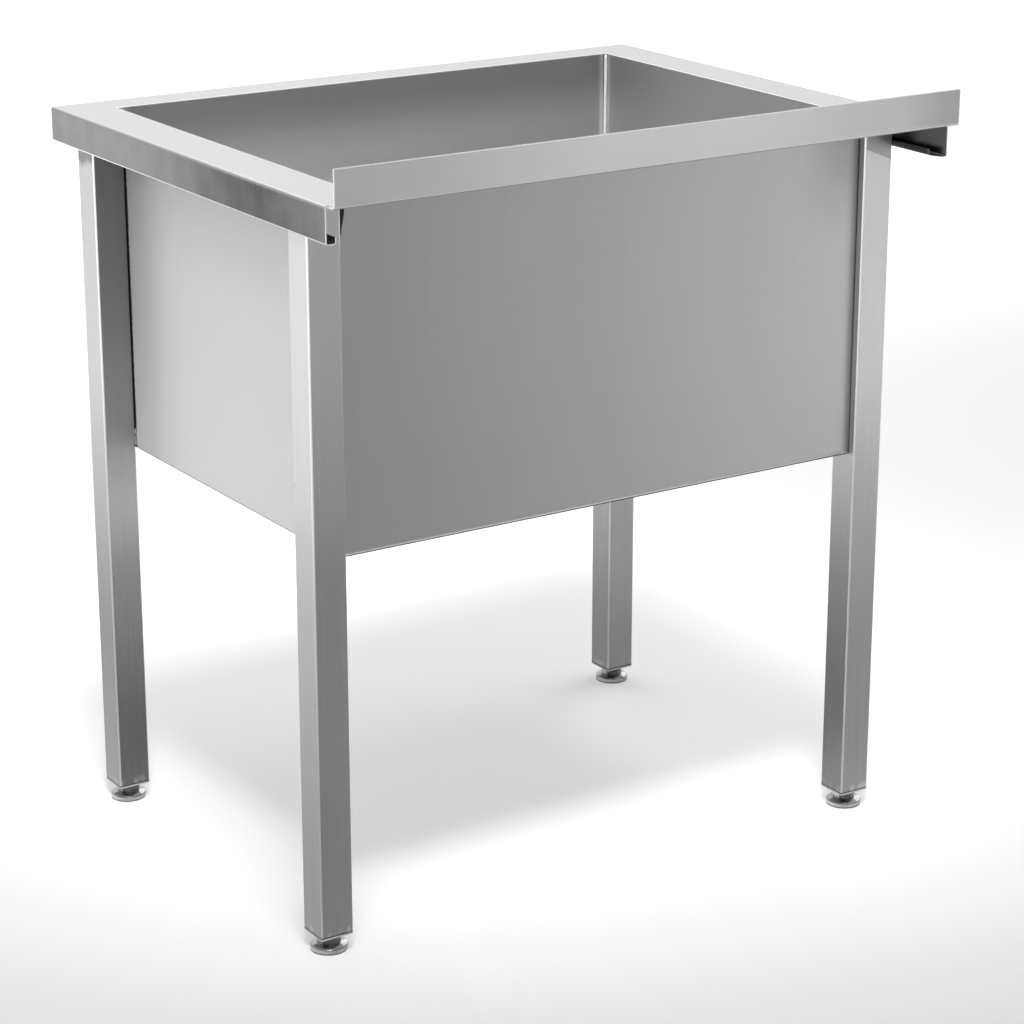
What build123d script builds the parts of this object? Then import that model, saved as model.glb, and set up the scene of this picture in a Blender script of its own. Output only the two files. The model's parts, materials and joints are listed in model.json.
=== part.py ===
"""Free-standing utility wash sink in folded stainless sheet, in millimetres.

A flat deck with a folded hem on three sides and an upstand along the back carries a deep welded
bowl. Four square tube legs stand outside the bowl's end walls, and each has a plastic thread
insert and a levelling foot. A two-part waste with a lift-out stopper drains the bowl.
X runs along the sink, -Y is the user's side, +Z is up, and the origin is on the floor below the
middle of the deck.
"""
import math
import os

from build123d import *

os.makedirs("parts", exist_ok=True)

# ------------------------------------------------------------------ driving dimensions
# folded sheet
sheet = 1.2                     # thickness of the deck and the bowl
bend = 1.5                      # inner radius of the deck's folds

# deck
deck_length = 800.0
deck_depth = 650.0
deck_height = 850.0             # floor to the deck's top face
side_rim = 60.0                 # deck beside the bowl, at both ends
front_rim = 48.0                # deck in front of the bowl
tap_ledge = 102.0               # deck behind the bowl
upstand_height = 40.0           # above the deck, along the back edge
apron_drop = 40.0               # folded down at the front and both ends
hem_return = 12.0               # folded inwards under the apron
hem_lip = 7.5                   # folded up again inside the return
mitre_run = 20.0                # the left end's return is mitred over this length at its back end
hem_land = 7.0                  # flat strip of the deck that is bent together with the apron
apron_back_stop = 18.0          # the end aprons finish this far in front of the upstand
notch_width = 4.0               # bend relief cut between the apron and the back corner
notch_depth = 4.0
rim_edge_radius = 0.5           # dressed edge round the opening

# bowl
bowl_depth = 400.0
bowl_bend = 6.0                 # inner radius along the foot of the front and back walls
crease_inset = 10.0             # flat margin between the bends and the floor's creases
floor_fall = 10.0               # the creased floor drops this much to the waste
sump_side = 120.0               # flat square round the waste

# legs
leg_side = 40.0
leg_wall = 1.5
leg_radius = 2.5
leg_front_setback = 25.0        # deck's front edge to the front legs
leg_back_setback = 90.0         # deck's back edge to the back legs
weld_gap = 0.2                  # leg to end wall
foot_height = 22.5              # floor to the end of the tube with the foot screwed in

# thread inserts in the tube ends
insert_flange = 3.2
insert_edge = 0.6               # chamfer round both edges of the flange
insert_depth = 30.0
insert_core = 33.0
insert_ribs = 3
insert_rib_height = 1.6
insert_rib_pitch = 9.0
insert_rib_play = 0.1           # each side, between the ribs and the tube

# levelling feet
thread_diameter = 10.0
thread_play = 0.05              # radial, stem to insert
stem_length = 60.0              # thread above the hexagon
collar_across_flats = 24.0
collar_blunting = 0.6           # radial, taken off the hexagon's corners
collar_gap = 0.4                # hexagon to insert with the foot screwed in
foot_diameter = 42.0
foot_rim = 6.0
foot_rim_radius = 0.8
foot_cone_height = 8.0
foot_cone_top = 27.0
foot_cone_bulge = 0.3           # the cone's side swells out by this much
swivel_diameter = 12.0
swivel_play = 0.06              # radial
swivel_end_gap = 0.3
swivel_floor = 3.0              # foot material under the swivel

# waste
waste_hole = 48.4               # hole in the bowl's floor
recess_diameter = 75.0          # pressed recess round the hole
recess_flare = 2.0              # the recess is this much wider at its top, each side
flange_diameter = 70.0
flange_sheet = 1.2
flange_edge_chamfer = 0.4
flange_lift = 0.3               # flange above the level of the sump
throat_diameter = 40.6          # inside the strainer cup
cup_depth = 14.0                # flange top to the inside of the cup's bottom
strainer_holes = 8
strainer_hole = 6.0
strainer_ring = 26.0
upper_gasket = 1.8
lower_gasket = 3.0
gasket_width = 8.5
clamp_flange = 4.0              # flange of the plastic body under the bowl
clamp_diameter = 68.0
outlet_diameter = 47.8          # G 1 1/2 male thread
outlet_wall = 3.9
outlet_length = 42.0
body_length = 60.0              # clamp flange top to the outlet's end
hub_diameter = 13.0
hub_height = 14.0
hub_drop = 20.0                 # clamp flange top to the hub's top
spoke_width = 3.0
spokes = 4
screw_diameter = 6.0
screw_play = 0.05
screw_head = 12.0
screw_head_height = 3.0
screw_head_radius = 1.0

# stopper
stopper_gap = 0.3               # rubber to the strainer cup all round
stopper_draft = 0.8             # the stopper is this much slimmer at its foot, each side
stopper_reach = 7.5             # below the flange
stopper_lip = 48.0
stopper_lip_height = 2.5
stopper_lip_radius = 1.25
tab_thickness = 4.0
tab_width = 9.0
tab_height = 6.5
ring_radius = 8.0               # to the middle of the wire
ring_wire = 2.2
ring_hole_play = 0.5            # radial, wire to the hole in the tab

# ------------------------------------------------------------------ levels and places
upwards = (Align.CENTER, Align.CENTER, Align.MIN)
through_cut = 4 * sheet         # length of a cutter that goes through a sheet from its middle

deck_end = deck_length / 2
deck_front = -deck_depth / 2
deck_back = deck_depth / 2
deck_top = deck_height
deck_under = deck_top - sheet
apron_end = deck_back - apron_back_stop

bowl_end = deck_end - side_rim
bowl_front = deck_front + front_rim
bowl_back = deck_back - tap_ledge
bowl_length = 2 * bowl_end
bowl_width = bowl_back - bowl_front
bowl_middle = (bowl_front + bowl_back) / 2
bowl_floor = deck_top - bowl_depth
sump = bowl_floor - floor_fall

leg_x = bowl_end + sheet + weld_gap + leg_side / 2
leg_front = deck_front + leg_front_setback + leg_side / 2
leg_back = deck_back - leg_back_setback - leg_side / 2
leg_places = {
    "front_left": (-leg_x, leg_front),
    "front_right": (leg_x, leg_front),
    "back_left": (-leg_x, leg_back),
    "back_right": (leg_x, leg_back),
}
insert_bottom = foot_height - insert_flange
collar_top = insert_bottom - collar_gap
collar_bottom = foot_cone_height + swivel_end_gap

flange_top = sump + flange_lift
flange_under = flange_top - flange_sheet
recess_floor = flange_under - upper_gasket
clamp_top = recess_floor - sheet - lower_gasket
cup_floor = flange_top - cup_depth
cup_under = cup_floor - flange_sheet
hub_top = clamp_top - hub_drop
outlet_end = clamp_top - body_length


# ------------------------------------------------------------------ deck
def folded_section(outer, inner):
    """A folded strip's section between two polylines, with every corner rounded as a fold."""
    with BuildSketch() as section:
        with BuildLine():
            FilletPolyline(*outer, radius=bend + sheet)
            FilletPolyline(*inner, radius=bend)
            Line(outer[0], inner[0])
            Line(outer[-1], inner[-1])
        make_face()
    return section.sketch


# apron, return and lip: the first value runs inwards from the outer face, the second up from the top
hem_section = folded_section(
    outer=[
        (hem_land, 0),
        (0, 0),
        (0, -apron_drop),
        (hem_return, -apron_drop),
        (hem_return, hem_lip - apron_drop),
    ],
    inner=[
        (hem_land, -sheet),
        (sheet, -sheet),
        (sheet, sheet - apron_drop),
        (hem_return - sheet, sheet - apron_drop),
        (hem_return - sheet, hem_lip - apron_drop),
    ],
)

# upstand: Y and Z as they stand
upstand_section = folded_section(
    outer=[
        (deck_back - hem_land, deck_under),
        (deck_back, deck_under),
        (deck_back, deck_top + upstand_height),
    ],
    inner=[
        (deck_back - hem_land, deck_top),
        (deck_back - sheet, deck_top),
        (deck_back - sheet, deck_top + upstand_height),
    ],
)

with BuildPart() as deck:
    with BuildSketch(Plane.XY.offset(deck_under)):
        flat_back = deck_back - hem_land
        flat_front = deck_front + hem_land
        with Locations((0, (flat_front + flat_back) / 2)):
            Rectangle(deck_length - 2 * hem_land, flat_back - flat_front)
        with Locations((0, (apron_end + flat_back) / 2)):
            Rectangle(deck_length - 2 * notch_depth, flat_back - apron_end)
        with Locations((0, (apron_end + notch_width + flat_back) / 2)):
            Rectangle(deck_length, flat_back - apron_end - notch_width)
        with Locations((0, bowl_middle)):
            Rectangle(bowl_length, bowl_width, mode=Mode.SUBTRACT)
    extrude(amount=sheet)
    rim_edges = deck.edges().group_by(Axis.Z)[-1].filter_by(
        lambda e: abs(e.center().X) < bowl_end + 1 and abs(e.center().Y - bowl_middle) < bowl_width / 2 + 1
    )
    fillet(rim_edges, rim_edge_radius)
    with BuildLine() as hem_path:
        Polyline(
            (deck_end, apron_end, deck_top),
            (deck_end, deck_front, deck_top),
            (-deck_end, deck_front, deck_top),
            (-deck_end, apron_end, deck_top),
        )
    with BuildSketch(Plane(origin=(deck_end, apron_end, deck_top), x_dir=(-1, 0, 0), z_dir=(0, 1, 0))):
        add(hem_section)
    sweep(path=hem_path.line, transition=Transition.RIGHT)
    with BuildSketch(Plane.XY.offset(deck_top - apron_drop)):
        with BuildLine():
            Polyline(
                (bend + sheet - deck_end, apron_end),
                (hem_return - deck_end, apron_end - mitre_run),
                (hem_return - deck_end, apron_end),
                close=True,
            )
        make_face()
    extrude(amount=hem_lip, mode=Mode.SUBTRACT)
    with BuildSketch(Plane.YZ):
        add(upstand_section)
    extrude(amount=deck_end, both=True)
deck.part.label = "deck"
export_step(deck.part, "parts/deck.step")


# ------------------------------------------------------------------ bowl
def bowl_outline(grow, top):
    """The bowl's cross-section, grown by grow, with rounded bottom corners and its top at z = top."""
    bottom = bowl_floor - grow
    with Locations((bowl_middle, (bottom + top) / 2)):
        outline = Rectangle(bowl_width + 2 * grow, top - bottom)
    return outline.vertices().group_by(Axis.Y)[0]


def floor_pan(level, mode):
    """The creased floor's fall: a shallow pyramid from the crease rectangle down to the sump square."""
    inset = 2 * (bowl_bend + crease_inset)
    with BuildPart(mode=Mode.PRIVATE) as pan:
        with BuildSketch(Plane.XY.offset(level)):
            with Locations((0, bowl_middle)):
                Rectangle(bowl_length - inset, bowl_width - inset)
        with BuildSketch(Plane.XY.offset(level - floor_fall)):
            with Locations((0, bowl_middle)):
                Rectangle(sump_side, sump_side)
        loft()
    add(pan.part, mode=mode)


def waste_recess(top, bottom, radius, mode):
    """The round recess pressed into the sump, a little wider at its top."""
    with Locations((0, bowl_middle, (top + bottom) / 2)):
        Cone(bottom_radius=radius, top_radius=radius + recess_flare, height=top - bottom, mode=mode)


with BuildPart() as bowl_shell:
    with BuildSketch(Plane.YZ) as wall_section:
        bottom_corners = bowl_outline(sheet, deck_under)
        fillet(bottom_corners, bowl_bend + sheet)
    extrude(amount=bowl_end, both=True)
    floor_pan(bowl_floor - sheet, Mode.ADD)
    recess_radius = recess_diameter / 2
    waste_recess(sump - sheet, recess_floor - sheet, recess_radius + sheet, Mode.ADD)
    with BuildSketch(Plane.YZ) as hollow_section:
        bottom_corners = bowl_outline(0, deck_top)
        fillet(bottom_corners, bowl_bend)
    extrude(amount=bowl_end, both=True, mode=Mode.SUBTRACT)
    floor_pan(bowl_floor, Mode.SUBTRACT)
    waste_recess(sump, recess_floor, recess_radius, Mode.SUBTRACT)
    with Locations((0, bowl_middle, recess_floor)):
        Cylinder(waste_hole / 2, through_cut, mode=Mode.SUBTRACT)
bowl_shell.part.label = "bowl_shell"
export_step(bowl_shell.part, "parts/bowl_shell.step")

for side, sign in {"left": -1, "right": 1}.items():
    with BuildPart() as bowl_end_wall:
        with BuildSketch(Plane.YZ.offset(sign * bowl_end)):
            bottom_corners = bowl_outline(sheet, deck_under)
            fillet(bottom_corners, bowl_bend + sheet)
        extrude(amount=sign * sheet)
    bowl_end_wall.part.label = f"bowl_end_{side}"
    export_step(bowl_end_wall.part, f"parts/bowl_end_{side}.step")

# ------------------------------------------------------------------ legs, inserts and feet
for corner, place in leg_places.items():
    with BuildPart() as leg:
        with BuildSketch(Plane.XY.offset(foot_height)):
            with Locations(place):
                RectangleRounded(leg_side, leg_side, leg_radius)
                bore_side = leg_side - 2 * leg_wall
                RectangleRounded(bore_side, bore_side, leg_radius - leg_wall, mode=Mode.SUBTRACT)
        extrude(amount=deck_under - foot_height)
    leg.part.label = f"leg_{corner}"
    export_step(leg.part, f"parts/leg_{corner}.step")

    with BuildPart() as insert:
        with BuildSketch(Plane.XY.offset(insert_bottom)):
            with Locations(place):
                RectangleRounded(leg_side, leg_side, leg_radius)
        extrude(amount=insert_flange)
        chamfer(insert.faces().filter_by(Axis.Z).edges(), insert_edge)
        with BuildSketch(Plane.XY.offset(foot_height)):
            with Locations(place):
                core_outline = Rectangle(insert_core, insert_core)
            chamfer(core_outline.vertices(), leg_radius)
        extrude(amount=insert_depth)
        rib_side = leg_side - 2 * leg_wall - 2 * insert_rib_play
        for rib in range(insert_ribs):
            rib_level = foot_height + insert_depth - insert_rib_height - rib * insert_rib_pitch
            with BuildSketch(Plane.XY.offset(rib_level)):
                with Locations(place):
                    rib_outline = Rectangle(rib_side, rib_side)
                chamfer(rib_outline.vertices(), leg_radius - leg_wall)
            extrude(amount=insert_rib_height)
        with Locations((*place, insert_bottom)):
            bore_radius = thread_diameter / 2 + thread_play
            bore_depth = insert_flange + insert_depth
            Cylinder(bore_radius, bore_depth, align=upwards, mode=Mode.SUBTRACT)
    insert.part.label = f"leg_insert_{corner}"
    export_step(insert.part, f"parts/leg_insert_{corner}.step")

    with BuildPart() as stem:
        with BuildSketch(Plane.XY.offset(collar_bottom)):
            with Locations(place):
                RegularPolygon(collar_across_flats / 2, 6, major_radius=False)
        extrude(amount=collar_top - collar_bottom)
        with Locations((*place, (collar_top + collar_bottom) / 2)):
            crown = collar_across_flats / 2 / math.cos(math.pi / 6)
            Cylinder(crown - collar_blunting, collar_top - collar_bottom, mode=Mode.INTERSECT)
        with Locations((*place, collar_top)):
            Cylinder(thread_diameter / 2, stem_length, align=upwards)
        with Locations((*place, swivel_floor + swivel_end_gap)):
            swivel_height = collar_bottom - swivel_floor - swivel_end_gap
            Cylinder(swivel_diameter / 2, swivel_height, align=upwards)
    stem.part.label = f"foot_stem_{corner}"
    export_step(stem.part, f"parts/foot_stem_{corner}.step")

    with BuildPart() as foot:
        with BuildSketch(Plane.XZ):
            with BuildLine():
                rim_top = (foot_diameter / 2, foot_rim)
                cone_top = (foot_cone_top / 2, foot_cone_height)
                Polyline((0, 0), (foot_diameter / 2, 0), rim_top)
                SagittaArc(rim_top, cone_top, -foot_cone_bulge)
                Polyline(cone_top, (0, foot_cone_height), (0, 0))
            make_face()
        revolve(axis=Axis.Z)
        rim_circles = foot.edges().filter_by(GeomType.CIRCLE).sort_by(SortBy.RADIUS)[-2:]
        fillet(rim_circles, foot_rim_radius)
        with Locations((0, 0, swivel_floor)):
            socket_depth = foot_cone_height - swivel_floor
            socket_radius = swivel_diameter / 2 + swivel_play
            Cylinder(socket_radius, socket_depth, align=upwards, mode=Mode.SUBTRACT)
    foot_in_place = Pos(*place, 0) * foot.part
    foot_in_place.label = f"foot_base_{corner}"
    export_step(foot_in_place, f"parts/foot_base_{corner}.step")

# ------------------------------------------------------------------ waste
waste_plane = Plane.XZ.offset(-bowl_middle)
waste_axis = Axis((0, bowl_middle, 0), (0, 0, 1))


def ring_section(inner, outer, bottom, top):
    """A rectangle of the revolve plane between two radii and two levels."""
    with Locations(((inner + outer) / 2, (bottom + top) / 2)):
        Rectangle(outer - inner, top - bottom)


with BuildPart() as waste_flange:
    with BuildSketch(waste_plane):
        cup_radius = throat_diameter / 2
        ring_section(cup_radius, flange_diameter / 2, flange_under, flange_top)
        ring_section(cup_radius, cup_radius + flange_sheet, cup_under, flange_top)
        ring_section(0, cup_radius + flange_sheet, cup_under, cup_floor)
    revolve(axis=waste_axis)
    with Locations((0, bowl_middle, cup_floor)):
        Cylinder(screw_diameter / 2 + screw_play, through_cut, mode=Mode.SUBTRACT)
        with PolarLocations(strainer_ring / 2, strainer_holes):
            Cylinder(strainer_hole / 2, through_cut, mode=Mode.SUBTRACT)
    flange_edge = waste_flange.edges().filter_by(GeomType.CIRCLE).group_by(Axis.Z)[-1]
    chamfer(flange_edge, flange_edge_chamfer)
waste_flange.part.label = "waste_flange"
export_step(waste_flange.part, "parts/waste_flange.step")

for gasket, (inner, level, thickness) in {
    "upper": (throat_diameter / 2 + 2 * flange_sheet, recess_floor, upper_gasket),
    "lower": (waste_hole / 2 + stopper_gap, clamp_top, lower_gasket),
}.items():
    with BuildPart() as washer:
        with BuildSketch(waste_plane):
            ring_section(inner, inner + gasket_width, level, level + thickness)
        revolve(axis=waste_axis)
    washer.part.label = f"waste_gasket_{gasket}"
    export_step(washer.part, f"parts/waste_gasket_{gasket}.step")

with BuildPart() as waste_body:
    outlet_radius = outlet_diameter / 2
    outlet_bore = outlet_radius - outlet_wall
    bell_bottom = outlet_end + outlet_length
    with BuildSketch(waste_plane):
        with BuildLine():
            Polyline(
                (waste_hole / 2, clamp_top),
                (clamp_diameter / 2, clamp_top),
                (clamp_diameter / 2, clamp_top - clamp_flange),
                (waste_hole / 2 + outlet_wall, clamp_top - clamp_flange),
                (outlet_radius, bell_bottom),
                (outlet_radius, outlet_end),
                (outlet_bore, outlet_end),
                (outlet_bore, bell_bottom),
                (waste_hole / 2, clamp_top - clamp_flange),
                close=True,
            )
        make_face()
        ring_section(0, hub_diameter / 2, hub_top - hub_height, hub_top)
    revolve(axis=waste_axis)
    with BuildSketch(Plane.XY.offset(hub_top - hub_height)):
        with Locations((0, bowl_middle)):
            with PolarLocations(outlet_bore / 2, spokes):
                Rectangle(outlet_bore + outlet_wall / 2, spoke_width)
    extrude(amount=hub_height - spoke_width)
    with Locations((0, bowl_middle, hub_top - hub_height / 2)):
        Cylinder(screw_diameter / 2 + screw_play, 2 * hub_height, mode=Mode.SUBTRACT)
waste_body.part.label = "waste_body"
export_step(waste_body.part, "parts/waste_body.step")

with BuildPart() as waste_screw:
    with BuildSketch(waste_plane):
        ring_section(0, screw_head / 2, cup_floor, cup_floor + screw_head_height)
        ring_section(0, screw_diameter / 2, hub_top - hub_height, cup_floor)
    revolve(axis=waste_axis)
    head_edge = waste_screw.edges().filter_by(GeomType.CIRCLE).group_by(Axis.Z)[-1]
    fillet(head_edge, screw_head_radius)
waste_screw.part.label = "waste_screw"
export_step(waste_screw.part, "parts/waste_screw.step")

# ------------------------------------------------------------------ stopper with its ring
lip_bottom = flange_top + stopper_gap
lip_top = lip_bottom + stopper_lip_height
tab_top = lip_top + tab_height
ring_bore = ring_wire / 2 + ring_hole_play
ring_level = tab_top - tab_width / 2

with BuildPart() as stopper:
    with BuildSketch(waste_plane):
        neck_radius = throat_diameter / 2 - stopper_gap
        with BuildLine():
            Polyline(
                (0, lip_top),
                (stopper_lip / 2, lip_top),
                (stopper_lip / 2, lip_bottom),
                (neck_radius, lip_bottom),
                (neck_radius - stopper_draft, flange_top - stopper_reach),
                (0, flange_top - stopper_reach),
                close=True,
            )
        make_face()
    revolve(axis=waste_axis)
    lip_edge = stopper.edges().filter_by(GeomType.CIRCLE).group_by(Axis.Z)[-1]
    fillet(lip_edge, stopper_lip_radius)
    with BuildSketch(Plane.YZ):
        with Locations((bowl_middle, (lip_top + ring_level) / 2)):
            Rectangle(tab_width, ring_level - lip_top)
        with Locations((bowl_middle, ring_level)):
            Circle(tab_width / 2)
            Circle(ring_bore, mode=Mode.SUBTRACT)
    extrude(amount=tab_thickness / 2, both=True)
stopper.part.label = "stopper"
export_step(stopper.part, "parts/stopper.step")

with BuildPart() as stopper_ring:
    ring_drop = ring_level - ring_wire / 2 - lip_top - stopper_gap
    ring_tilt = math.degrees(math.asin(ring_drop / (2 * ring_radius)))
    with Locations(Location((0, bowl_middle, ring_level), (-ring_tilt, 0, 0))):
        with Locations((0, ring_radius, 0)):
            Torus(ring_radius, ring_wire / 2)
stopper_ring.part.label = "stopper_ring"
export_step(stopper_ring.part, "parts/stopper_ring.step")
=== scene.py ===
"""Utility wash sink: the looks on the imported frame, in metres.

The solids of the deck, the bowl, the legs, the inserts, the foot bases, the waste's cup and washers
and the stopper keep their shape and get worked-out finishes. New pieces are surfaces worked out with
numpy: the threaded foot stems, the body and the screw of the waste, and the welds. The floor, the
lamps and the camera follow.
"""
import json
import math

import bpy
import numpy as np
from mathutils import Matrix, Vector


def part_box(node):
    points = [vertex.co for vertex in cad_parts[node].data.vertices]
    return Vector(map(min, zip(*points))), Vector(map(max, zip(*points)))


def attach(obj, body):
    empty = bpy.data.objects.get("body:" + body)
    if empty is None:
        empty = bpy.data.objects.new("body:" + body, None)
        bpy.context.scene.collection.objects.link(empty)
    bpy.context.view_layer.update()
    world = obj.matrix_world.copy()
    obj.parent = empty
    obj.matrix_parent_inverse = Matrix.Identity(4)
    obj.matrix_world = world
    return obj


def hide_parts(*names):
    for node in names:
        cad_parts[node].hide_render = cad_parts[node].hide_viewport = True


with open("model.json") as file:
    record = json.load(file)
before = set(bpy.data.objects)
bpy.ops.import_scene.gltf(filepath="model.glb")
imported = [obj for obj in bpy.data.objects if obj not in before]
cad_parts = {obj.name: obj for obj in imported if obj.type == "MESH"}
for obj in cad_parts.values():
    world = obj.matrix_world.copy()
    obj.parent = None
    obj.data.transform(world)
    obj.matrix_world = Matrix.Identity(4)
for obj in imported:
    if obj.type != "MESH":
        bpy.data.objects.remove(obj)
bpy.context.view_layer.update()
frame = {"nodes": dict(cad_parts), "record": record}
nodes = frame["nodes"]

# ------------------------------------------------------------------ places, in metres
deck_low, deck_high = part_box("deck")
shell_low, shell_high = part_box("bowl_shell")
end_low, end_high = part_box("bowl_end_right")
sheet = end_high.x - end_low.x                      # thickness of the deck and the bowl
deck_end = deck_high.x
deck_front = deck_low.y
deck_back = deck_high.y
upstand_top = deck_high.z
apron_foot = deck_low.z
deck_under = shell_high.z
deck_top = deck_under + sheet
apron_end = deck_back - 0.018                       # the end aprons stop here, short of the upstand
bowl_end = shell_high.x                             # inner faces of the end walls are at +/- this
bowl_front = shell_low.y + sheet
bowl_back = shell_high.y - sheet
bowl_middle = (bowl_front + bowl_back) / 2
bowl_half = (bowl_back - bowl_front) / 2
bowl_floor = deck_top - 0.400
bowl_bend = 0.006                                   # inner radius between the floor and the long walls

leg_low, leg_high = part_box("leg_back_right")
front_leg_low, front_leg_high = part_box("leg_front_right")
leg_half = (leg_high.x - leg_low.x) / 2
leg_x = (leg_low.x + leg_high.x) / 2
leg_back = (leg_low.y + leg_high.y) / 2
leg_front = (front_leg_low.y + front_leg_high.y) / 2
leg_middle = (leg_front + leg_back) / 2
leg_spread = (leg_back - leg_front) / 2
tube_end = leg_low.z
insert_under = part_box("leg_insert_back_right")[0].z
plate_rim = 0.006                                   # top of the foot plate's upright side
plate_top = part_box("foot_base_back_right")[1].z
corners = {
    "front_left": (-1, leg_front),
    "front_right": (1, leg_front),
    "back_left": (-1, leg_back),
    "back_right": (1, leg_back),
}


# ------------------------------------------------------------------ finishes
class Number:
    """A number that changes over a surface: an output socket with the usual operators."""

    def __init__(self, nodes, socket):
        self.nodes = nodes
        self.socket = socket

    def math(self, operation, *values):
        return self.nodes.node("Math", {"operation": operation}, dict(enumerate(values)))

    def __add__(self, other):
        return self.math("ADD", self, other)

    def __radd__(self, other):
        return self.math("ADD", other, self)

    def __sub__(self, other):
        return self.math("SUBTRACT", self, other)

    def __rsub__(self, other):
        return self.math("SUBTRACT", other, self)

    def __mul__(self, other):
        return self.math("MULTIPLY", self, other)

    def __rmul__(self, other):
        return self.math("MULTIPLY", other, self)

    def __abs__(self):
        return self.math("ABSOLUTE", self)

    def most(self, other):
        """The larger of the two."""
        return self.math("MAXIMUM", self, other)

    def rise(self, low, high):
        """0 up to low and 1 from high, smooth between; a low above high turns it round."""
        settings = {"interpolation_type": "SMOOTHSTEP"}
        return self.nodes.node("MapRange", settings, {"Value": self, "From Min": low, "From Max": high})

    def near(self, place, reach):
        """1 at the place and 0 from the reach on, smooth between."""
        return abs(self - place).rise(reach, 0)

    def swing(self, amount):
        """Noise about 0.5 made a change about 0, scaled by the amount."""
        return (self - 0.5) * amount

    def dim(self, mask, amount):
        """This number, lowered by that share of itself where the mask is 1."""
        return self * (1 - mask * amount)


class Nodes:
    """Makes and links the nodes of one tree."""

    def __init__(self, tree):
        self.tree = tree

    def node(self, kind, settings=None, inputs=None, output=0):
        """One node of that type: its settings first, then its sockets' values or links."""
        made = self.tree.nodes.new("ShaderNode" + kind)
        for setting, value in (settings or {}).items():
            setattr(made, setting, value)
        for key, value in (inputs or {}).items():
            if isinstance(value, Number):
                self.tree.links.new(value.socket, made.inputs[key])
            else:
                made.inputs[key].default_value = value
        return Number(self, made.outputs[output])

    def blend(self, mask, low, high):
        """low where the mask is 0 and high where it is 1."""
        return self.node("Mix", {"data_type": "FLOAT"}, {0: mask, 2: low, 3: high})

    def seen(self):
        """1 for camera, glossy and transmitted rays, 0 for the light that falls on things."""
        camera, glossy, through = (self.node("LightPath", output=f"Is {ray} Ray")
                                   for ray in ("Camera", "Glossy", "Transmission"))
        return camera.most(glossy).most(through)


class Finish(Nodes):
    """A material, its shader and the nodes that feed it."""

    def __init__(self, name, **constants):
        self.material = bpy.data.materials.new(name)
        self.material.use_nodes = True
        super().__init__(self.material.node_tree)
        self.shader = self.tree.nodes["Principled BSDF"]
        for socket, value in constants.items():
            self.shader.inputs[socket.replace("_", " ")].default_value = value
        self.place = self.node("TexCoord", output="Object")
        self.x, self.y, self.z = (self.split(self.place, axis) for axis in "XYZ")

    def split(self, vector, axis):
        """One of a vector's three numbers."""
        return self.node("SeparateXYZ", inputs={0: vector}, output=axis)

    def point(self, x, y, z):
        """A vector of three numbers."""
        return self.node("CombineXYZ", inputs={0: x, 1: y, 2: z})

    def stretched(self, along_x, along_y, along_z):
        """The place with each axis scaled: a large scale means a fine pattern."""
        scales = (along_x, along_y, along_z)
        return self.node("VectorMath", {"operation": "MULTIPLY"}, {0: self.place, 1: scales})

    def noise(self, at, detail=2.0, roughness=0.5):
        """Smooth noise about 0.5 at a scaled place."""
        values = {"Vector": at, "Scale": 1.0, "Detail": detail, "Roughness": roughness}
        return self.node("TexNoise", inputs=values)

    def facing(self, axis):
        """How far the surface faces along an axis, from -1 to 1."""
        return self.split(self.node("TexCoord", output="Normal"), axis)

    def feed(self, socket, value):
        self.tree.links.new(value.socket, self.shader.inputs[socket])

    def surface(self, tint, tone, roughness, height, depth):
        """Feeds the shader: a tint scaled by the tone, the roughness, and a bump of that depth in metres."""
        bump = {"Strength": 1.0, "Distance": depth, "Height": height}
        self.feed("Base Color", self.node("VectorMath", {"operation": "SCALE"}, {0: tint, "Scale": tone}))
        self.feed("Roughness", roughness)
        self.feed("Normal", self.node("Bump", inputs=bump, output="Normal"))
        return self.material


steel_tint = (1.0, 1.0, 1.0)
plastic_tint = (1.0, 0.995, 0.98)


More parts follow.
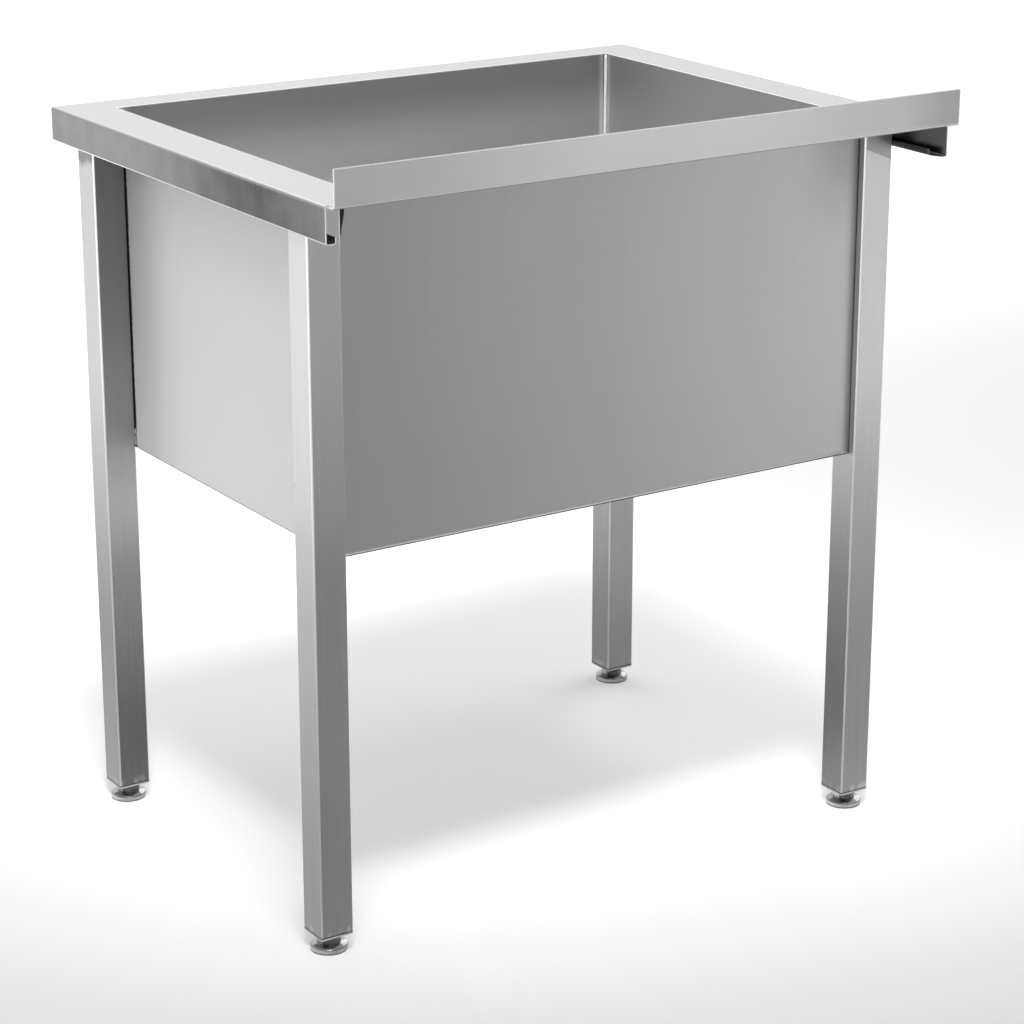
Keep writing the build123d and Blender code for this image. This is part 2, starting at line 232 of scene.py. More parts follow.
def deck_finish():
    """Satin sheet whose grain runs along the sink and over the end folds. The aprons and the upstand
    carry painted shade, the end aprons most towards the back; painted dark lines of shade lie under the
    top folds and the upstand, and painted shade fills the inside of the left hem. The rim of the opening
    is dressed bright, and the lower folds, the cut edges and the upstand's edges carry painted highlights."""
    f = Finish("deck_satin", Metallic=1.0)
    flat_tone, apron_shade, bright_edge_tone = 0.655, 0.255, 0.86
    size_x = abs(f.x)
    from_end = deck_end - size_x
    above_deck = f.z - deck_top
    above_foot = f.z - apron_foot
    at_end = from_end.rise(0.0016, 0.0008)
    run = f.x + f.z * at_end
    across = f.z * (1 - at_end)
    fine = f.noise(f.point(run * 9, f.y * 1900, across * 1900), detail=3.0, roughness=0.6)
    streaks = f.noise(f.point(run * 3, f.y * 260, across * 260))
    clouds = f.noise(f.stretched(5, 5, 9))
    grain = fine.swing(0.05) + streaks.swing(0.035) + clouds.swing(0.03)
    # flat deck, and painted shade on the upstand, deeper towards its ends and at the left corner
    upstand = above_deck.rise(0.0004, 0.0020)
    left_corner = f.x.rise(0.09 - deck_end, 0.01 - deck_end)
    tone = flat_tone - upstand * (0.05 + size_x.rise(0.05, deck_end) * 0.14 + left_corner * 0.10)
    # aprons: painted shade, deeper on the end aprons towards the back, and random blotches
    on_apron = above_deck.rise(-0.0022, -0.0050)
    end_apron_shade = at_end * (0.155 + f.y.near(0.16, 0.30) * 0.150)
    blotches = f.noise(f.stretched(28, 28, 28), detail=3.0)
    tone = tone - on_apron * (end_apron_shade + apron_shade) + on_apron * blotches.swing(0.10)
    # painted shade: dark lines under the top folds and under the upstand
    outward = (0 - from_end).most(deck_front - f.y).rise(-0.0024, -0.0014)
    under_fold_shade = above_deck.near(-0.0025, 0.0026) * outward
    below_upstand_shade = (f.y - deck_back).rise(-0.0030, -0.0018) * above_deck.rise(0.0006, -0.0002)
    tone = tone - under_fold_shade * 0.36 - below_upstand_shade * 0.35
    # the dressed rim of the opening, and painted highlights on the lower folds, the upstand's top and side
    # edges and the cut edges
    lower_fold = above_foot.rise(0.0024, 0.0016) * outward
    off_opening = (size_x - bowl_end).most(abs(f.y - bowl_middle) - bowl_half)
    rim = off_opening.rise(0.0032, 0.0018) * above_deck.rise(-0.0015, -0.0004)
    top_edge = (f.z - upstand_top).rise(-0.0012, -0.0007)
    side_edge = from_end.rise(0.0014, 0.0009) * upstand
    cut_edge = (f.y - apron_end).rise(-0.0008, -0.0003) * (f.z - deck_under).rise(0, -0.0006)
    dressed_and_highlit = rim.most(lower_fold).most(top_edge).most(side_edge).most(cut_edge)
    # painted shade inside the left hem
    inner_hem_shade = from_end.rise(0.0040, 0.0050) * above_foot.rise(0.0130, 0.0120) * f.x.rise(-0.2, -0.3)
    # the dressed rim and the painted edge highlights, then the grain
    tone = (f.blend(dressed_and_highlit, tone, bright_edge_tone) + grain).dim(inner_hem_shade, 0.75)
    roughness = 0.33 + fine.swing(0.10) + clouds.swing(0.05) - dressed_and_highlit * 0.12
    return f.surface(steel_tint, tone, roughness, fine * 0.5 + streaks * 0.3, 0.00003)


def bowl_finish():
    """Fine satin sheet with an upright grain, slightly wavy. Inside, painted shade leaves it brighter deeper
    down, and it is ground lighter along the welded corners with a dark line beside each bead. Outside,
    painted light and shade grade the walls, and its lower edges, a gap beside the right back leg and the
    seam beside the front legs are painted dark as shadow."""
    f = Finish("bowl_satin")
    dark_tone = 0.012
    size_x = abs(f.x)
    off_y = abs(f.y - bowl_middle) - bowl_half
    below_deck = deck_top - f.z
    above_floor = f.z - bowl_floor
    on_end = (size_x - bowl_end).rise(-0.0005, -0.0001)
    outer_end = (size_x - bowl_end).rise(sheet * 0.3, sheet * 0.7)
    outer_wall = off_y.rise(sheet * 0.3, sheet * 0.7)
    inside = (1 - outer_end) * (1 - outer_wall)
    around = f.blend(on_end, f.x, f.y)
    upright = f.y * (1 - on_end)
    fine = f.noise(f.point(around * 2100, upright * 9, f.z * 9), detail=3.0, roughness=0.6)
    streaks = f.noise(f.point(around * 210, upright * 2, f.z * 2.5))
    clouds = f.noise(f.stretched(4, 4, 5))
    waves = f.noise(f.stretched(3.2, 3.2, 2.4), detail=1.0)
    # long walls outside: painted light, lighter to the left, but not in the left top corner, which has
    # painted shade
    corner_shade = f.x.rise(0.10 - bowl_end, 0.01 - bowl_end) * below_deck.rise(0.15, 0.03)
    wall_tone = 0.395 - f.x * 0.20 - corner_shade * 0.12
    # end walls outside: painted shade towards the top, and painted light beside the front leg
    from_leg = f.y - (leg_front + leg_half)
    painted_lift_by_leg = from_leg.near(0.010, 0.09)
    end_tone = 0.76 - below_deck.rise(0.19, 0.05) * 0.13 + painted_lift_by_leg * 0.16
    # inside: painted shade, so brighter deeper down, and on the end walls brighter towards their middle
    long_tone = 0.40 + below_deck.rise(0.012, 0.090) * 0.36
    inside_tone = f.blend(on_end, long_tone, 0.58 + f.y.rise(-0.26, -0.06) * 0.10)
    tone = f.blend(outer_wall, f.blend(outer_end, inside_tone, end_tone), wall_tone)
    # the ground strip along each weld
    from_weld = f.blend(on_end, bowl_end - size_x, 0 - off_y)
    ground = (from_weld + streaks.swing(0.006)).rise(0.0115, 0.0050) * inside
    weld_line = from_weld.near(0.0032, 0.0014) * inside
    tone = tone + ground * 0.24 - weld_line * 0.55
    tone = tone + fine.swing(0.03) + streaks.swing(0.02) + clouds.swing(0.02)
    # a painted shadow in a gap beside the right back leg: it starts at a low level, is widest at its waist
    # and ends under the deck
    shadow_gap_low, shadow_gap_waist, shadow_gap_top = deck_top - 0.055, deck_top - 0.027, deck_top - 0.001
    narrowing = f.z.rise(shadow_gap_waist, shadow_gap_top) * 0.0010 + f.z.rise(shadow_gap_waist, shadow_gap_low + 0.002) * 0.0040
    shadow_gap_edge = bowl_end - 0.0093 + narrowing
    shadow_gap = (f.x - shadow_gap_edge).rise(0, 0.0006) * f.z.rise(shadow_gap_low, shadow_gap_low + 0.003) * f.y.rise(0.1, 0.2)
    # painted shadow along the lower edges: a line round the outside of the bend, and along the end walls'
    # feet
    across_bend = off_y + bowl_bend
    above_bend = above_floor - bowl_bend
    off_bend = across_bend * across_bend + above_bend * above_bend
    on_bend = off_bend.rise((bowl_bend + 0.0005) ** 2, (bowl_bend + 0.0009) ** 2) * across_bend.rise(0, 0.001)
    under_bend = on_bend * above_floor.rise(0.0028, 0.0012) * (1 - outer_end)
    lower_edge_shadow = under_bend.most(above_floor.rise(-0.0002, -0.0008) * outer_end)
    # painted shadow in the seam beside the front legs, broken by bits of bead
    bits = f.noise(f.stretched(300, 300, 300)).rise(0.52, 0.60)
    leg_seam_shadow = from_leg.rise(0.0029, 0.0023) * outer_end * (1 - bits * from_leg.rise(0.0017, 0.0022))
    # the painted shadows: dark and not metallic
    dark = (shadow_gap * outer_wall).most(lower_edge_shadow).most(leg_seam_shadow)
    tone = f.blend(dark, tone, dark_tone)
    f.feed("Metallic", (1 - outer_end * (0.5 + painted_lift_by_leg * 0.35)) * (1 - dark))
    roughness = 0.36 + fine.swing(0.08) + clouds.swing(0.05) + ground * 0.05 + outer_end * 0.08 + dark * 0.4
    return f.surface(steel_tint, tone, roughness, fine * 0.3 + streaks * 0.2 + waves * 20, 0.00003)


def leg_finish():
    """Satin tube with its grain along the tube, with painted shade towards the floor and on some sides, and
    painted highlights along its corners. It has heat marks at the top, a wedge of shade under the deck and
    a painted shadow in the joint beside the bowl, and it is scuffed at its foot and painted dark as shadow
    where it meets the insert."""
    f = Finish("leg_satin")
    dark_tone = 0.03
    from_side_x = leg_half - abs(abs(f.x) - leg_x)
    from_side_y = leg_half - abs(abs(f.y - leg_middle) - leg_spread)
    above_end = f.z - tube_end
    side_x = from_side_x.rise(0.0012, 0.0002)
    side_y = from_side_y.rise(0.0012, 0.0002)
    inner_half = (leg_x - abs(f.x)).rise(0, 0.010)
    right = f.x.rise(-0.1, 0.1)
    left = 1 - right
    front = f.y.rise(0.1, -0.1)
    back = 1 - front
    fine = f.noise(f.stretched(1700, 1700, 8), detail=3.0, roughness=0.6)
    streaks = f.noise(f.stretched(240, 240, 3))
    clouds = f.noise(f.stretched(7, 7, 5))
    # painted shade: darker towards the floor
    low = f.z.rise(0.56, 0.40) * 0.4 + f.z.rise(0.45, 0.05) * 0.6
    tone = 0.60 - low * 0.29 + streaks.swing(0.05) + clouds.swing(0.05)
    # right legs: painted shade on their front and back sides, on the back leg most half way up, on the front
    # one least
    back_shade = 0.28 + f.z.near(0.46, 0.30) * 0.12
    front_shade = 0.58 - f.z.near(0.385, 0.33) * 0.30 - f.z.near(0.385, 0.10) * 0.30
    tone = tone.dim(side_y * right, f.blend(front, back_shade, front_shade))
    # heat marks at the top, next to the welds
    blotch = f.noise(f.stretched(60, 60, 40), detail=3.0)
    heat = (deck_top - f.z - blotch.swing(0.02)).rise(0.067, 0.054) * side_x
    tone = tone.dim(heat, front * 0.50 + 0.06)
    # more painted shade: the right front leg's end sides, and the left legs, the back one's end sides most
    tone = tone.dim(side_x * right * front, 0.13 + f.z.near(0.25, 0.15) * 0.14)
    tone = tone.dim(left, 0.10 + f.z.rise(0.5, 0.2) * 0.08 + side_x * back * f.z.rise(0.46, 0.30) * 0.20)
    # left legs: a wedge of shade above a line that rises towards the bowl
    shade_slope, shade_level = 0.41, 0.9527
    wedge = (f.z - f.x * shade_slope).rise(shade_level, shade_level + 0.0013)
    tone = tone.dim(wedge * left * side_y, 0.40)
    # painted highlights along the corners: the right back leg's inner ones only at the top
    plain = inner_half * right * back * f.z.rise(0.800, 0.780)
    corner_highlight = from_side_x.rise(0.0021, 0.0015) * from_side_y.rise(0.0021, 0.0015) * (1 - plain)
    specks = f.noise(f.stretched(170, 170, 110), detail=2.0).rise(0.76, 0.80)
    tone = f.blend(corner_highlight, tone.dim(specks, 0.5), 0.98 - low * 0.55)
    # painted shadow in the joint beside the bowl, the scuffs, and painted shadow in the seam over the insert
    front_joint_shadow = corner_highlight * inner_half * front
    back_joint_shadow = f.y.near(bowl_back + sheet + 0.0006, 0.0020) * inner_half * (1 - side_y)
    joint_shadow = front_joint_shadow.most(back_joint_shadow) * f.z.rise(bowl_floor, bowl_floor + 0.004)
    smears = f.noise(f.stretched(130, 130, 40), detail=3.0)
    scuffs = above_end.rise(0.012, 0.0010) * smears.rise(0.50, 0.62)
    seam_shadow = above_end.rise(0.0010, 0.0004)
    tone = f.blend(seam_shadow.most(joint_shadow), tone + scuffs * 0.14 + fine.swing(0.05), dark_tone)
    f.feed("Metallic", 1 - joint_shadow)
    roughness = 0.34 + fine.swing(0.10) + clouds.swing(0.06) - corner_highlight * 0.10
    return f.surface(steel_tint, tone, roughness, fine * 0.5 + streaks * 0.3, 0.00003)


def insert_finish():
    """Moulded plastic with a faint mould grain, and a painted shadow in the seam under the tube."""
    f = Finish("insert_moulded", Metallic=0.0)
    fine = f.noise(f.stretched(900, 900, 900))
    clouds = f.noise(f.stretched(60, 60, 60))
    # painted shadow in the seam under the tube
    seam_shadow = (f.z - tube_end).rise(-0.0011, -0.0005)
    tone = f.blend(seam_shadow, 0.52 + fine.swing(0.06) + clouds.swing(0.10), 0.05)
    return f.surface(plastic_tint, tone, 0.46 + fine.swing(0.15), fine, 0.00004)


def foot_finish():
    """Bright plating with a faint turned grain and duller spots. It has a painted highlight at the back of
    the cone, painted shade on the left feet's cones, along the plate's edge and where it faces +y, and a
    painted contact shadow at the floor."""
    f = Finish("foot_plated", Metallic=1.0)
    fine = f.noise(f.stretched(90, 90, 2600))
    clouds = f.noise(f.stretched(120, 120, 120), detail=3.0)
    right = f.x.rise(-0.1, 0.1)
    above_rim = f.z - plate_rim
    edge = above_rim.near(-0.0003, 0.0008)
    on_cone = above_rim.rise(-0.0002, 0.0006)
    # painted contact shadow at the floor
    contact_shadow = f.z.rise(0.0016, 0.0008) * f.facing("Z").rise(-0.9, -0.6)
    # a painted highlight on the cone, towards the back
    behind = f.y - f.blend(f.y.rise(-0.1, 0.1), leg_front, leg_back)
    outside = abs(f.x) - leg_x
    painted_glint = (behind + outside * f.blend(right, 0.3, -0.3)).rise(0.0085, 0.0125)
    # the cone's painted highlight, and painted shade on the left feet's cones
    cone_light_and_shade = painted_glint * 0.46 - (1 - right) * 0.08 - 0.06
    # painted shade along the plate's edge and where it faces +y
    tone = 0.52 + on_cone * cone_light_and_shade - edge * 0.36 - f.facing("Y").rise(0.3, 0.9) * 0.16
    tone = f.blend(contact_shadow, tone + fine.swing(0.05) + clouds.swing(0.30), 0.02)
    roughness = 0.16 + fine.swing(0.06) + clouds.swing(0.10)
    return f.surface(steel_tint, tone, roughness, fine, 0.00002)


def stem_finish():
    """Duller zinc plating with a turned grain, with painted shade on the sides that face +y."""
    f = Finish("stem_plated", Metallic=1.0)
    fine = f.noise(f.stretched(120, 120, 2600))
    clouds = f.noise(f.stretched(150, 150, 150), detail=3.0)
    # painted shade on the sides that face +y
    tone = 0.44 - f.facing("Y").rise(0.1, 0.7) * 0.36 + fine.swing(0.04) + clouds.swing(0.10)
    roughness = 0.26 + fine.swing(0.08) + clouds.swing(0.12)
    return f.surface(steel_tint, tone, roughness, fine, 0.00002)


def polished_finish():
    """Polished steel with faint swirls."""
    f = Finish("waste_polished", Metallic=1.0)
    swirl = f.noise(f.stretched(260, 260, 260), detail=3.0)
    clouds = f.noise(f.stretched(50, 50, 50))
    tone = 0.80 + swirl.swing(0.05) + clouds.swing(0.05)
    roughness = 0.13 + swirl.swing(0.06) + clouds.swing(0.05)
    return f.surface(steel_tint, tone, roughness, swirl, 0.00001)


def rubber_finish():
    """Matt black rubber with a fine bloom."""
    f = Finish("stopper_rubber", Metallic=0.0)
    fine = f.noise(f.stretched(700, 700, 700), detail=3.0)
    bloom = f.noise(f.stretched(45, 45, 45))
    tone = 0.034 + fine.swing(0.012) + bloom.swing(0.020)
    return f.surface(plastic_tint, tone, 0.56 + fine.swing(0.16), fine, 0.00006)


def plastic_finish():
    """White moulded plastic with a faint mould grain."""
    f = Finish("waste_moulded", Metallic=0.0)
    fine = f.noise(f.stretched(500, 500, 500))
    clouds = f.noise(f.stretched(40, 40, 40))
    tone = 0.74 + fine.swing(0.04) + clouds.swing(0.06)
    return f.surface(plastic_tint, tone, 0.38 + fine.swing(0.12), fine, 0.00003)


def weld_finish(name, bright, burnt, metallic, depth):
    """A bead with small ripples; bright is its tone, and its heat spots are darker by burnt."""
    f = Finish(name, Metallic=metallic)
    ripples = f.noise(f.stretched(420, 420, 420))
    spots = f.noise(f.stretched(160, 160, 160), detail=3.0).rise(0.50, 0.62)
    tone = bright + ripples.swing(0.10) - spots * burnt
    return f.surface(steel_tint, tone, 0.30 + ripples.swing(0.12), ripples, depth)


finishes = {
    "deck_steel": deck_finish(),
    "bowl_steel": bowl_finish(),
    "leg_steel": leg_finish(),
    "foot_steel": foot_finish(),
    "insert_plastic": insert_finish(),
    "polished_steel": polished_finish(),
    "rubber": rubber_finish(),
    "waste_plastic": plastic_finish(),
}
stem_plating = stem_finish()
dressed_weld = weld_finish("weld_dressed", bright=0.97, burnt=0.02, metallic=0.3, depth=0.00001)
raw_weld = weld_finish("weld_raw", bright=0.30, burnt=0.24, metallic=1.0, depth=0.00006)
slot_of = {part["node"]: part["material_slot"] for part in frame["record"]["subparts"]}
for name, node in nodes.items():
    node.data.materials.clear()
    node.data.materials.append(finishes[slot_of[name]])


# ------------------------------------------------------------------ how new pieces are made
def closed_grid(points, ring=False):
    """Vertices and faces of a grid of points (rows, columns, 3): columns close on themselves. In a
    ring the last row joins the first; otherwise a fan to its middle closes each of these two rows."""
    rows, columns = points.shape[:2]
    row, column = np.meshgrid(np.arange(rows if ring else rows - 1), np.arange(columns), indexing="ij")
    below, above = row * columns, (row + 1) % rows * columns
    after = (column + 1) % columns
    quads = np.stack([below + column, below + after, above + after, above + column], axis=-1).reshape(-1, 4)
    if ring:
        return points.reshape(-1, 3), quads.tolist()
    turn = np.arange(columns)
    turn_after = (turn + 1) % columns
    last = (rows - 1) * columns
    foot = np.stack([turn_after, turn, np.full(columns, rows * columns)], axis=-1)
    head = np.stack([last + turn, last + turn_after, np.full(columns, rows * columns + 1)], axis=-1)
    vertices = np.concatenate([points.reshape(-1, 3), points[[0, -1]].mean(axis=1)])
    return vertices, quads.tolist() + foot.tolist() + head.tolist()


def make_piece(name, material, body, grids, rings=(), replaced=(), sharp=35.0):
    """One object of closed grids and rings at the origin, smooth up to the sharp angle in degrees."""
    vertices, faces, start = [], [], 0
    for points, ring in [(grid, False) for grid in grids] + [(grid, True) for grid in rings]:
        grid_vertices, grid_faces = closed_grid(points, ring)
        vertices += grid_vertices.tolist()
        faces += [[start + corner for corner in face] for face in grid_faces]
        start = len(vertices)
    mesh = bpy.data.meshes.new(name)
    mesh.from_pydata(vertices, [], faces)
    mesh.validate()
    mesh.shade_smooth()
    mesh.set_sharp_from_angle(angle=math.radians(sharp))
    mesh.materials.append(material)
    piece = bpy.data.objects.new(name, mesh)
    bpy.context.scene.collection.objects.link(piece)
    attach(piece, body)
    if replaced:
        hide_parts(*replaced)


def angles_of(columns):
    """Evenly spaced angles over a full turn."""
    return np.arange(columns) * (2 * math.pi / columns)


def turned(radii, levels, centre):
    """Points of a surface turned about an upright axis: (r cos a, r sin a, level). There is a radius
    for each row and angle, and a level for each row or for each row and angle."""
    angles = angles_of(radii.shape[1])
    z = np.broadcast_to(levels.reshape(len(levels), -1), radii.shape)
    return np.stack([centre[0] + radii * np.cos(angles), centre[1] + radii * np.sin(angles), z], axis=-1)


def round_rows(profile, columns):
    """Radii and levels of round rows, one row for each (radius, level) of a profile."""
    radii, levels = np.array(profile).T
    return np.repeat(radii[:, None], columns, axis=1), levels


def thread_rows(levels, columns, start, end, pitch, root, crest):
    """Radii and levels of the rows of a screw thread. The radius goes from root to crest and back once
    in each pitch of (level - angle / full turn), as a triangle with its tips cut off: a height less a
    slope times the distance from the ridge, kept in 0 to 1. The thread fades out over one pitch at
    the start and at the end."""
    height, slope = 1.30, 3.2
    level = levels[:, None]
    phase = (level / pitch - angles_of(columns) / (2 * math.pi)) % 1.0
    ridge = np.clip(height - np.abs(phase - 0.5) * slope, 0, 1)
    fade = np.clip((level - start) / pitch, 0, 1) * np.clip((end - level) / pitch, 0, 1)
    return root + (crest - root) * ridge * fade, levels


def stacked(*stretches):
    """The radii and the levels of several stretches of rows, one after the other."""
    return [np.concatenate(rows) for rows in zip(*stretches)]


def rounded_section(half_width, half_height, radius, steps=4):
    """Points of a rectangle with rounded corners, counter-clockwise: a quarter turn round each of the
    four corner centres."""
    quarter = np.linspace(0, math.pi / 2, steps + 1)
    turns = np.concatenate([quarter + k * math.pi / 2 for k in range(4)])
    across = np.repeat([1, -1, -1, 1], steps + 1) * (half_width - radius)
    up = np.repeat([1, 1, -1, -1], steps + 1) * (half_height - radius)
    return np.stack([across + radius * np.cos(turns), up + radius * np.sin(turns)], axis=-1)


def line(start, end, step=0.0012):
    """Points from start to end, evenly spaced."""
    start, end = np.asarray(start, float), np.asarray(end, float)
    count = max(3, int(np.linalg.norm(end - start) / step))
    return start + (end - start) * np.linspace(0, 1, count)[:, None]


def bead(path, first, second, size, seed, ripple=0.06):
    """Points of a weld bead along a path, in the corner between two faces that go off along first and
    second. Across it, u = cos(t)^1.6 along first and v = sin(t)^1.6 along second, a low crown, closed
    a little behind the corner. The size swells with two ripples along the path and falls at both ends."""
    short_wave, long_wave = 0.0046, 0.031
    behind = -0.12
    path = np.asarray(path, float)
    first = np.broadcast_to(np.asarray(first, float), path.shape)
    second = np.broadcast_to(np.asarray(second, float), path.shape)
    run = np.concatenate([[0.0], np.cumsum(np.linalg.norm(np.diff(path, axis=0), axis=1))])
    waves = np.sin(run * 2 * math.pi / short_wave + seed) + np.sin(run * 2 * math.pi / long_wave + 2 * seed)
    ends = np.clip(np.minimum(run, run[-1] - run) / (1.5 * size), 0.02, 1.0)
    scale = size * (1 + ripple * waves) * np.sqrt(ends)
    sweep = np.linspace(0, math.pi / 2, 7)
    u = np.concatenate([[1.0], np.cos(sweep) ** 1.6, [behind, behind]])[:, None]
    v = np.concatenate([[behind], np.sin(sweep) ** 1.6, [1.0, behind]])[:, None]
    points = path[:, None] + scale[:, None, None] * (u * first[:, None] + v * second[:, None])
    if np.dot(np.cross(first[0], second[0]), path[1] - path[0]) < 0:
        points = points[:, ::-1]
    return points


# ------------------------------------------------------------------ foot stems
def foot_stem(corner, side, leg_y):
    """A foot's stem: a swivel end, a hexagon with turned-off corners, and an M10 thread. A hexagon's
    radius at an angle is its half width over the cosine of the angle to the nearest flat."""
    low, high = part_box("foot_stem_" + corner)
    columns = 72
    pitch, root, crest = 0.0015, 0.00415, 0.0050
    hexagon_half = 0.012
    hexagon_low, hexagon_high = plate_top + 0.0003, insert_under - 0.0004
    swivel = round_rows([(0.0053, low.z), (0.0060, low.z + 0.0006), (0.0060, hexagon_low)], columns)
    flats = hexagon_half / np.cos((angles_of(columns) + math.pi / 6) % (math.pi / 3) - math.pi / 6)
    most_radius, from_face = np.array([(0.0122, 0.0), (0.0128, 0.0004), (0.01335, 0.0010)]).T
    hexagon = (np.minimum(flats, np.concatenate([most_radius, most_radius[::-1]])[:, None]),
               np.concatenate([hexagon_low + from_face, hexagon_high - from_face[::-1]]))
    levels = np.arange(hexagon_high, high.z - 0.0002, pitch / 8)
    screw = thread_rows(levels, columns, hexagon_high + 0.001, high.z, pitch, root, crest)
    tip = round_rows([(0.0036, high.z)], columns)
    points = turned(*stacked(swivel, hexagon, screw, tip), (side * leg_x, leg_y))
    body = node = "foot_stem_" + corner
    make_piece("stem_" + corner, stem_plating, body, [points], replaced=[node])


for corner, (side, leg_y) in corners.items():
    foot_stem(corner, side, leg_y)

# ------------------------------------------------------------------ the waste's body and screw
waste_axis = (0.0, bowl_middle)
waste_columns = 96


def waste_body():
    """The plastic body: a flanged bell whose outlet carries a G 1 1/2 thread, turned as one closed
    profile, with a hub (a small turned ring) held by four rounded bars from hub to outlet wall."""
    low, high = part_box("waste_body")
    top, bottom = high.z, low.z
    under_flange = top - 0.004
    thread_top = bottom + 0.042
    pitch, root, crest = 0.002309, 0.02242, 0.0239
    bore, mouth, neck, flange, ease = crest - 0.0039, 0.0242, 0.0281, 0.0340, 0.0004
    bell_rows = round_rows([
        (bore, bottom), (bore, thread_top), (mouth, under_flange + ease), (mouth, top - ease),
        (mouth + ease, top), (flange - ease, top), (flange, top - ease), (flange, under_flange + ease),
        (flange - ease, under_flange), (neck + ease, under_flange), (neck, under_flange - 0.0006),
    ], waste_columns)
    levels = np.arange(thread_top, bottom + 0.0008, -pitch / 9)
    thread = thread_rows(levels, waste_columns, bottom + 0.001, thread_top, pitch, root, crest)
    outlet_end = round_rows([(crest - 0.0018, bottom)], waste_columns)
    bell = turned(*stacked(bell_rows, thread, outlet_end), waste_axis)

    hub_top, hub_bottom = top - 0.020, top - 0.034
    hub_bore, hub_radius, hub_ease = 0.00305, 0.0065, 0.0003
    hub_rows = round_rows([
        (hub_bore, hub_bottom), (hub_bore, hub_top), (hub_radius - hub_ease, hub_top),
        (hub_radius, hub_top - hub_ease), (hub_radius, hub_bottom + hub_ease),
        (hub_radius - hub_ease, hub_bottom),
    ], waste_columns // 2)
    hub = turned(*hub_rows, waste_axis)

    bar_half_width, bar_half_height = 0.0015, 0.0055
    section = rounded_section(bar_half_width, bar_half_height, 0.0006)
    along = np.array([hub_radius - 0.001, 0.0100, 0.0150, bore + 0.001])
    bars = []
    for quarter in range(4):
        angle = quarter * math.pi / 2
        out = np.array([math.cos(angle), math.sin(angle)])
        aside = np.array([-out[1], out[0]])
        flat = along[:, None, None] * out + section[None, :, :1] * aside + waste_axis
        up = np.broadcast_to(hub_bottom + bar_half_height + section[None, :, 1:], flat.shape[:2] + (1,))
        bars.append(np.concatenate([flat, up], axis=-1))
    make_piece("waste_body_threaded", finishes["waste_plastic"], "frame", bars,
               rings=[bell[::-1], hub[::-1]], replaced=["waste_body"])


def waste_screw():
    """The M6 screw: a threaded shank, then a head whose top is lowered by the slot's depth wherever
    the distance from the slot's middle line, |r sin a|, is less than half its width."""
    low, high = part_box("waste_screw")
    pitch, root, crest = 0.001, 0.00248, 0.0030
    head_radius, head_ease, top_ease = 0.0060, 0.0003, 0.0010
    slot_half, slot_slant, slot_depth = 0.00095, 0.0003, 0.0014
    head_low = high.z - 0.003
    levels = np.arange(low.z, head_low - 0.0002, pitch / 8)
    shank = thread_rows(levels, waste_columns, low.z, head_low - 0.004, pitch, root, crest)
    side = round_rows([(crest, head_low), (head_radius - head_ease, head_low),
                       (head_radius, head_low + head_ease), (head_radius, high.z - top_ease)], waste_columns)
    shank_and_side = turned(*stacked(shank, side), waste_axis)
    turn = np.linspace(0, math.pi / 2, 5)[1:]
    flat = np.linspace(head_radius - 0.0013, 0.0003, 18)
    inwards, downwards = top_ease * (1 - np.cos(turn)), top_ease * (1 - np.sin(turn))
    rounding = np.stack([head_radius - inwards, high.z - downwards], axis=-1)
    middle = np.stack([flat, np.full(len(flat), high.z)], axis=-1)
    radii, top_levels = round_rows(np.concatenate([rounding, middle]), waste_columns)
    off_slot = np.abs(radii * np.sin(angles_of(waste_columns)))
    cut = np.clip((slot_half - off_slot) / slot_slant, 0, 1) * slot_depth
    top = turned(radii, top_levels[:, None] - cut, waste_axis)
    make_piece("waste_screw_slotted", finishes["polished_steel"], "frame",
               [np.concatenate([shank_and_side, top])], replaced=["waste_screw"])


waste_body()
waste_screw()


# ------------------------------------------------------------------ welds
def bowl_corner(side):
    """The path along an end wall inside the bowl: down the front wall, round the bend, along the
    floor, round the other bend and up the back wall, and the directions away from those faces."""
    top = deck_under - 0.001
    turn = np.linspace(0, math.pi / 2, 9)[1:-1]
    swing = bowl_bend * np.stack([0 * turn, np.cos(turn), -np.sin(turn)], axis=-1)
    x = side * bowl_end
    level = bowl_floor + bowl_bend
    front_centre = (x, bowl_front + bowl_bend, level)
    back_centre = (x, bowl_back - bowl_bend, level)
    path = np.concatenate([
        line((x, bowl_front, top), (x, bowl_front, level)),
        front_centre + swing * [1, -1, 1],
        line((x, bowl_front + bowl_bend, bowl_floor), (x, bowl_back - bowl_bend, bowl_floor)),
        back_centre + swing[::-1],
        line((x, bowl_back, level), (x, bowl_back, top)),
    ])
    along = np.gradient(path, axis=0)
    along /= np.linalg.norm(along, axis=1)[:, None]
    return path, np.stack([0 * along[:, 0], -along[:, 2], along[:, 1]], axis=-1)


for name, side in (("left", -1), ("right", 1)):
    path, inward = bowl_corner(side)
    weld = bead(path, (-side, 0, 0), inward, size=0.0022, seed=side, ripple=0.02)
    make_piece("bowl_weld_" + name, dressed_weld, "frame", [weld])

# two short stitches between each leg and the end wall, on the leg's side towards the sink's middle
stitch_size = 0.0024
stitch_levels = ((bowl_floor + 0.0005, bowl_floor + 0.0220), (deck_top - 0.032, deck_top - 0.004))
for corner, (side, leg_y) in corners.items():
    inward = math.copysign(1, leg_middle - leg_y)
    wall_x = side * (bowl_end + sheet)
    stitch_y = leg_y + inward * (leg_half - 0.0008)
    stitches = []
    for bottom, top in stitch_levels:
        path = line((wall_x, stitch_y, bottom), (wall_x, stitch_y, top))
        stitches.append(bead(path, (0, inward, 0), (side, 0, 0), stitch_size, seed=bottom * 90))
    make_piece("leg_weld_" + corner, raw_weld, "frame", stitches, sharp=50)


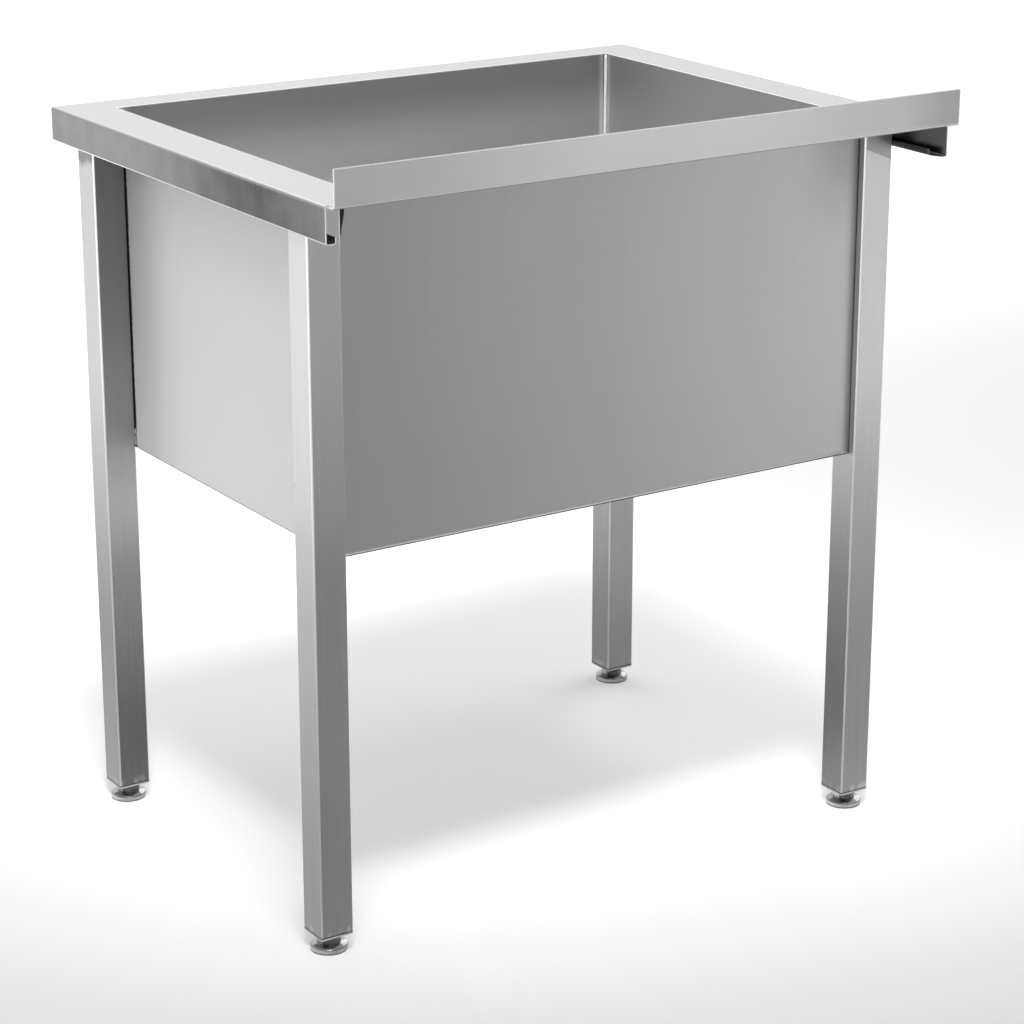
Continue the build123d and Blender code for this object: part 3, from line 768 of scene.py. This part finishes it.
# ------------------------------------------------------------------ studio
def pale_floor():
    """A wide pale floor, seen a little lighter than it is lit, and plain white far off; its shadow stays."""
    reach, grey = 14.0, 0.80
    lift, far_lift = 0.22, 0.70
    white_centre, white_from, white_all = (-1.3, 2.6, 0.0), 3.0, 5.5
    mesh = bpy.data.meshes.new("floor")
    square = [(-reach, -reach, 0), (reach, -reach, 0), (reach, reach, 0), (-reach, reach, 0)]
    mesh.from_pydata(square, [], [(0, 1, 2, 3)])
    floor = bpy.data.objects.new("floor", mesh)
    bpy.context.scene.collection.objects.link(floor)
    f = Finish("floor_paint", Base_Color=(grey, grey, grey, 1), Roughness=0.9, Specular_IOR_Level=0.0,
               Emission_Strength=1.0)
    off = f.node("VectorMath", {"operation": "DISTANCE"}, {0: f.place, 1: white_centre}, output="Value")
    f.feed("Emission Color", f.seen() * (lift + off.rise(white_from, white_all) * far_lift))
    mesh.materials.append(f.material)


def studio_world():
    """A plain room: white where it is seen or mirrored, a soft grey light on things."""
    light_level, seen_level = 0.45, 0.95
    world = bpy.data.worlds.new("room")
    bpy.context.scene.world = world
    world.use_nodes = True
    room = Nodes(world.node_tree)
    strength = room.blend(room.seen(), light_level, seen_level)
    background = world.node_tree.nodes["Background"]
    background.inputs["Color"].default_value = (1, 1, 1, 1)
    world.node_tree.links.new(strength.socket, background.inputs["Strength"])


def soft_lamp(name, place, aim, width, height, watts, spread=180):
    """A flat soft lamp at a place, turned towards an aim; a smaller spread, in degrees, keeps its
    light together."""
    light = bpy.data.lights.new(name, "AREA")
    light.shape = "RECTANGLE"
    light.size = width
    light.size_y = height
    light.energy = watts
    light.spread = math.radians(spread)
    lamp = bpy.data.objects.new(name, light)
    lamp.location = place
    lamp.rotation_euler = (Vector(aim) - Vector(place)).to_track_quat("-Z", "Y").to_euler()
    bpy.context.scene.collection.objects.link(lamp)


pale_floor()
studio_world()
soft_lamp("lamp_behind", (0.0, -2.6, 3.2), (0, -1.2, 0), width=3.0, height=1.5, watts=8, spread=100)
soft_lamp("lamp_side", (-2.8, 2.2, 1.8), (-2.3, 2.0, 0), width=0.8, height=1.6, watts=10, spread=60)
soft_lamp("lamp_over", (0.5, 0.9, 3.0), (0, -0.05, 0.6), width=1.0, height=1.0, watts=4.6, spread=30)
soft_lamp("lamp_front", (3.0, 2.5, 2.5), (0.3, 0.3, 0.4), width=2.0, height=2.0, watts=9)
soft_lamp("lamp_right", (-1.6, -0.4, 3.2), (-1.2, -0.2, 0.0), width=1.2, height=1.5, watts=4, spread=55)

# ------------------------------------------------------------------ camera
camera_aim = Vector((-0.0184, 0.0, 0.3752))
camera_distance = 3.544
camera_turn, camera_lift = math.radians(146.92), math.radians(18.23)
camera_data = bpy.data.cameras.new("camera")
camera_data.sensor_width = 36.0
camera_data.lens = 105.47
camera_data.clip_end = 100.0
camera = bpy.data.objects.new("camera", camera_data)
bpy.context.scene.collection.objects.link(camera)
level = math.cos(camera_lift)
away = Vector((math.sin(camera_turn) * level, -math.cos(camera_turn) * level, math.sin(camera_lift)))
camera.location = camera_aim + away * camera_distance
camera.rotation_euler = away.to_track_quat("Z", "Y").to_euler()
bpy.context.scene.camera = camera
bpy.context.scene.view_settings.view_transform = "Standard"
